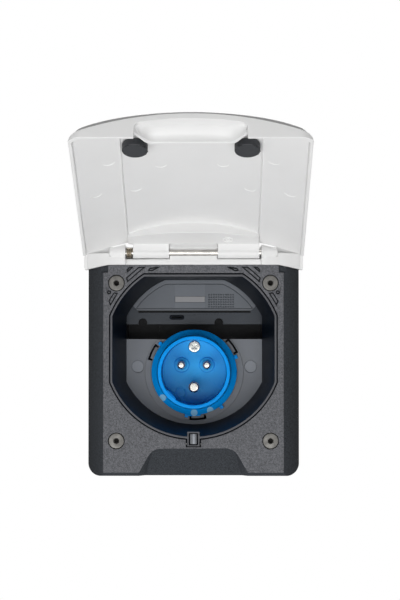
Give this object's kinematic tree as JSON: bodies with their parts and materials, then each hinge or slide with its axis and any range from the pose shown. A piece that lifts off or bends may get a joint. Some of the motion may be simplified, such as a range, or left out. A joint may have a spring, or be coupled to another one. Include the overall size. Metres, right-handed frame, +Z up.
{
  "type": "outdoor power inlet socket",
  "caption": "Flush outdoor mains inlet with a hinged white weather lid, a dark square frame, a deep recess and a round blue three-pin inlet.",
  "frame": {"origin": "middle of the four wall screws, on the wall plane at the back of the wall gasket", "axes": "+X right as seen from the front, +Y into the wall, +Z up"},
  "size_m": [0.1444, 0.2274, 0.2221],
  "materials": {
    "frame_plastic": "fine moulded grain",
    "white_plastic": "satin moulded white",
    "funnel_plastic": "smooth satin black",
    "plate_plastic": "smooth grey",
    "panel_plastic": "smooth grey",
    "label_film": "blank film",
    "blue_plastic": "smooth blue",
    "steel": "turned stainless",
    "polished_steel": "polished",
    "spring_steel": "drawn wire",
    "brass": "milled",
    "plated_brass": "nickel plated",
    "rubber": "matte",
    "gland_plastic": "smooth"
  },
  "bodies": {
    "housing": {"front_frame": "frame_plastic", "wall_gasket": "rubber", "frame_screws": "steel", "recess_funnel": "funnel_plastic", "lock_tongue": "plate_plastic", "hinge_base": "white_plastic", "base_screws": "steel", "hinge_pin": "polished_steel", "hinge_spring": "spring_steel", "rear_pot": "funnel_plastic", "pot_screws": "steel", "inlet_plate": "plate_plastic", "plate_screws": "plate_plastic", "inlet_seal": "rubber", "inlet_body": "blue_plastic", "pin_carrier": "blue_plastic", "pin_line": "plated_brass", "pin_neutral": "plated_brass", "pin_earth": "plated_brass", "carrier_screw": "steel", "terminal_line": "brass", "terminal_neutral": "brass", "terminal_earth": "brass", "terminal_screws": "steel", "panel_frame": "panel_plastic", "service_panel": "panel_plastic", "panel_label": "label_film", "panel_clip": "funnel_plastic", "rear_cover": "funnel_plastic", "cover_screws": "steel", "gland_body": "gland_plastic", "gland_seal": "rubber", "gland_nut": "gland_plastic"},
    "lid": {"lid_cover": "white_plastic", "buffer_left": "rubber", "buffer_right": "rubber"}
  },
  "joints": [
    {"name": "lid_hinge", "type": "hinge", "parent": "housing", "child": "lid", "pos_m": [0, -0.0205, 0.0715], "axis": [1, 0, 0], "range_deg": [0, 115.5]}
  ]
}
